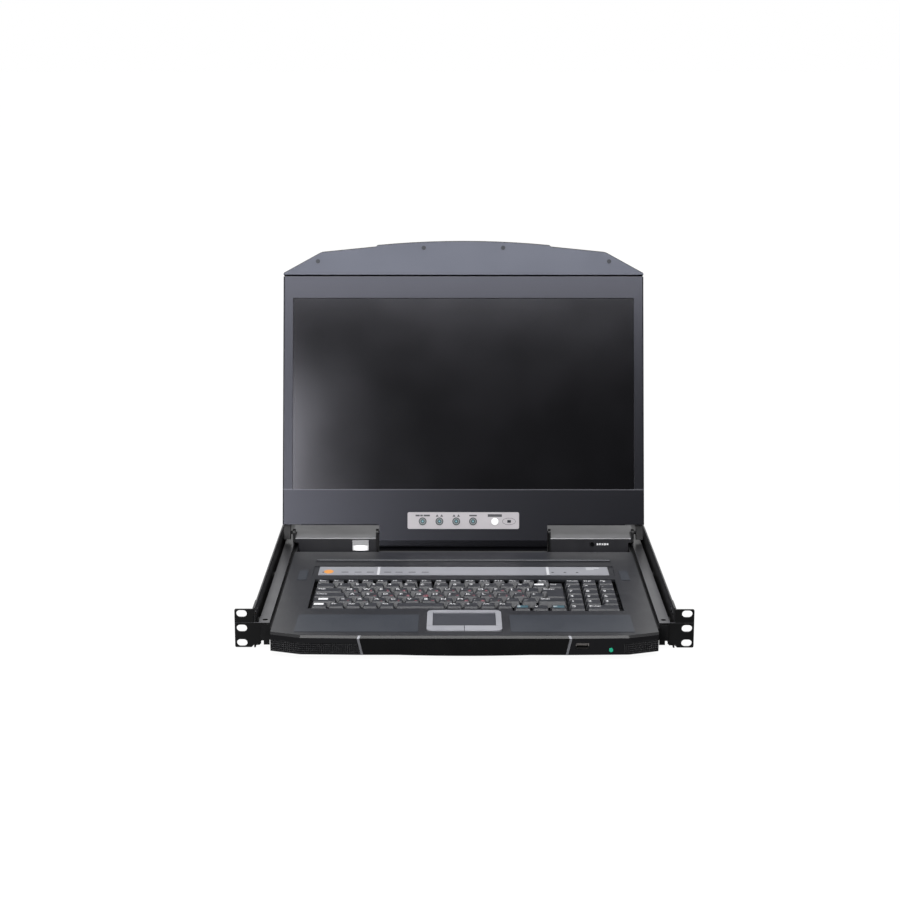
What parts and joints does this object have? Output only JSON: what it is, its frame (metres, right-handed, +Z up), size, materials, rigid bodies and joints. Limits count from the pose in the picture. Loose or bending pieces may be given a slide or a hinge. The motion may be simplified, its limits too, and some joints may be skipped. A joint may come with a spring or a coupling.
{
  "type": "rackmount lcd console drawer",
  "caption": "Rack drawer with a keyboard, touchpad and fold-down display on telescopic slides, in a one-unit case with rack ears.",
  "frame": {"origin": "centre of the front rack-ear holes, on the front face of the ears", "axes": "+X to the right seen from the front, +Y towards the back of the rack, +Z up"},
  "size_m": [0.48, 0.7388, 0.3833],
  "materials": {
    "black_steel": "matt black powder coat",
    "zinc_steel": "zinc-plated",
    "grey_steel": "satin dark grey",
    "deck_plastic": "fine texture",
    "face_plastic": "matt",
    "key_plastic": "satin",
    "silver_plastic": "silver lacquer",
    "trim_silver": "grey lacquer",
    "lcd_plastic": "fine texture",
    "handle_plastic": "satin grey",
    "screen_glass": "anti-glare film",
    "button_grey": "satin",
    "button_white": "satin",
    "lamp_lens": "clear over white",
    "led_green": "translucent",
    "board_green": "solder mask",
    "port_metal": "plated",
    "housing_grey": "satin"
  },
  "bodies": {
    "rack_case": {"left_side_wall": "black_steel", "right_side_wall": "black_steel", "left_rack_rail": "black_steel", "right_rack_rail": "black_steel", "case_tray": "black_steel", "rear_top_cover": "black_steel", "rear_panel": "black_steel", "power_inlet": "face_plastic", "rear_ports": "port_metal", "main_board": "board_green", "power_supply": "zinc_steel", "case_screws": "black_steel", "slide_outer_members": "zinc_steel"},
    "rocker": {"power_rocker": "face_plastic"},
    "left_bracket": {"left_rear_bracket": "black_steel"},
    "right_bracket": {"right_rear_bracket": "black_steel"},
    "left_middle": {"left_slide_middle": "zinc_steel"},
    "right_middle": {"right_slide_middle": "zinc_steel"},
    "drawer": {"slide_inner_members": "zinc_steel", "drawer_tray": "black_steel", "deck_cover": "deck_plastic", "left_bezel": "face_plastic", "right_bezel": "face_plastic", "centre_handle": "face_plastic", "trim_strips": "trim_silver", "key_guide_plate": "face_plastic", "indicator_strip": "silver_plastic", "touchpad": "deck_plastic", "touchpad_frame": "silver_plastic", "deck_patches": "deck_plastic", "usb_port": "port_metal", "power_light": "led_green", "left_hinge_housing": "housing_grey", "right_hinge_housing": "housing_grey", "hinge_leaves": "black_steel", "work_lamp": "lamp_lens", "drawer_screws": "black_steel"},
    "function_row": {"function_keys": "key_plastic"},
    "digit_row": {"digit_keys": "key_plastic"},
    "top_letter_row": {"top_letter_keys": "key_plastic"},
    "home_letter_row": {"home_letter_keys": "key_plastic"},
    "lower_letter_row": {"lower_letter_keys": "key_plastic"},
    "modifier_row": {"modifier_and_arrow_keys": "key_plastic"},
    "space": {"space_bar": "key_plastic"},
    "number_pad": {"number_pad_keys": "key_plastic"},
    "left_click": {"left_click_button": "silver_plastic"},
    "right_click": {"right_click_button": "silver_plastic"},
    "lamp_switch": {"lamp_button": "face_plastic"},
    "lcd_module": {"lcd_bezel": "lcd_plastic", "lcd_rear_cover": "lcd_plastic", "hinge_pins": "zinc_steel", "lcd_screen": "screen_glass", "lcd_handle": "handle_plastic", "osd_plate": "silver_plastic", "lcd_screws": "grey_steel"},
    "display_button_1": {"osd_button_1": "button_grey"},
    "display_button_2": {"osd_button_2": "button_grey"},
    "display_button_3": {"osd_button_3": "button_grey"},
    "display_button_4": {"osd_button_4": "button_grey"},
    "display_power": {"lcd_power_button": "button_white"}
  },
  "joints": [
    {"name": "drawer_slide", "type": "slide", "parent": "rack_case", "child": "drawer", "axis": [0, -1, 0], "range_m": [0, 0.39]},
    {"name": "left_middle_slide", "type": "slide", "parent": "rack_case", "child": "left_middle", "axis": [0, -1, 0], "range_m": [0, 0.195]},
    {"name": "right_middle_slide", "type": "slide", "parent": "rack_case", "child": "right_middle", "axis": [0, -1, 0], "range_m": [0, 0.195]},
    {"name": "left_bracket_depth", "type": "slide", "parent": "rack_case", "child": "left_bracket", "axis": [0, 1, 0], "range_m": [-0.03, 0.08]},
    {"name": "right_bracket_depth", "type": "slide", "parent": "rack_case", "child": "right_bracket", "axis": [0, 1, 0], "range_m": [-0.03, 0.08]},
    {"name": "rocker_tilt", "type": "hinge", "parent": "rack_case", "child": "rocker", "pos_m": [0.128, 0.646, 0], "axis": [1, 0, 0], "range_deg": [-18, 0]},
    {"name": "lcd_hinge", "type": "hinge", "parent": "drawer", "child": "lcd_module", "pos_m": [0, 0.3128, 0.0183], "axis": [1, 0, 0], "range_deg": [-15.16, 104.84]},
    {"name": "function_row_travel", "type": "slide", "parent": "drawer", "child": "function_row", "axis": [0, 0, -1], "range_m": [0, 0.002], "stiffness_N_per_m": 900},
    {"name": "digit_row_travel", "type": "slide", "parent": "drawer", "child": "digit_row", "axis": [0, 0, -1], "range_m": [0, 0.002], "stiffness_N_per_m": 900},
    {"name": "top_letter_row_travel", "type": "slide", "parent": "drawer", "child": "top_letter_row", "axis": [0, 0, -1], "range_m": [0, 0.002], "stiffness_N_per_m": 900},
    {"name": "home_letter_row_travel", "type": "slide", "parent": "drawer", "child": "home_letter_row", "axis": [0, 0, -1], "range_m": [0, 0.002], "stiffness_N_per_m": 900},
    {"name": "lower_letter_row_travel", "type": "slide", "parent": "drawer", "child": "lower_letter_row", "axis": [0, 0, -1], "range_m": [0, 0.002], "stiffness_N_per_m": 900},
    {"name": "modifier_row_travel", "type": "slide", "parent": "drawer", "child": "modifier_row", "axis": [0, 0, -1], "range_m": [0, 0.002], "stiffness_N_per_m": 900},
    {"name": "space_travel", "type": "slide", "parent": "drawer", "child": "space", "axis": [0, 0, -1], "range_m": [0, 0.002], "stiffness_N_per_m": 900},
    {"name": "number_pad_travel", "type": "slide", "parent": "drawer", "child": "number_pad", "axis": [0, 0, -1], "range_m": [0, 0.002], "stiffness_N_per_m": 900},
    {"name": "left_click_travel", "type": "slide", "parent": "drawer", "child": "left_click", "axis": [0, 0, -1], "range_m": [0, 0.0008], "stiffness_N_per_m": 400},
    {"name": "right_click_travel", "type": "slide", "parent": "drawer", "child": "right_click", "axis": [0, 0, -1], "range_m": [0, 0.0008], "stiffness_N_per_m": 400},
    {"name": "lamp_button_travel", "type": "slide", "parent": "drawer", "child": "lamp_switch", "axis": [0, 1, 0], "range_m": [0, 0.001], "stiffness_N_per_m": 300},
    {"name": "display_button_1_travel", "type": "slide", "parent": "lcd_module", "child": "display_button_1", "axis": [0, 0.9666, -0.2561], "range_m": [0, 0.0008], "stiffness_N_per_m": 300},
    {"name": "display_button_2_travel", "type": "slide", "parent": "lcd_module", "child": "display_button_2", "axis": [0, 0.9666, -0.2561], "range_m": [0, 0.0008], "stiffness_N_per_m": 300},
    {"name": "display_button_3_travel", "type": "slide", "parent": "lcd_module", "child": "display_button_3", "axis": [0, 0.9666, -0.2561], "range_m": [0, 0.0008], "stiffness_N_per_m": 300},
    {"name": "display_button_4_travel", "type": "slide", "parent": "lcd_module", "child": "display_button_4", "axis": [0, 0.9666, -0.2561], "range_m": [0, 0.0008], "stiffness_N_per_m": 300},
    {"name": "display_power_travel", "type": "slide", "parent": "lcd_module", "child": "display_power", "axis": [0, 0.9666, -0.2561], "range_m": [0, 0.0008], "stiffness_N_per_m": 300}
  ],
  "couplings": [
    {"joint": "left_middle_slide", "follows": "drawer_slide", "ratio": 0.5},
    {"joint": "right_middle_slide", "follows": "drawer_slide", "ratio": 0.5}
  ]
}
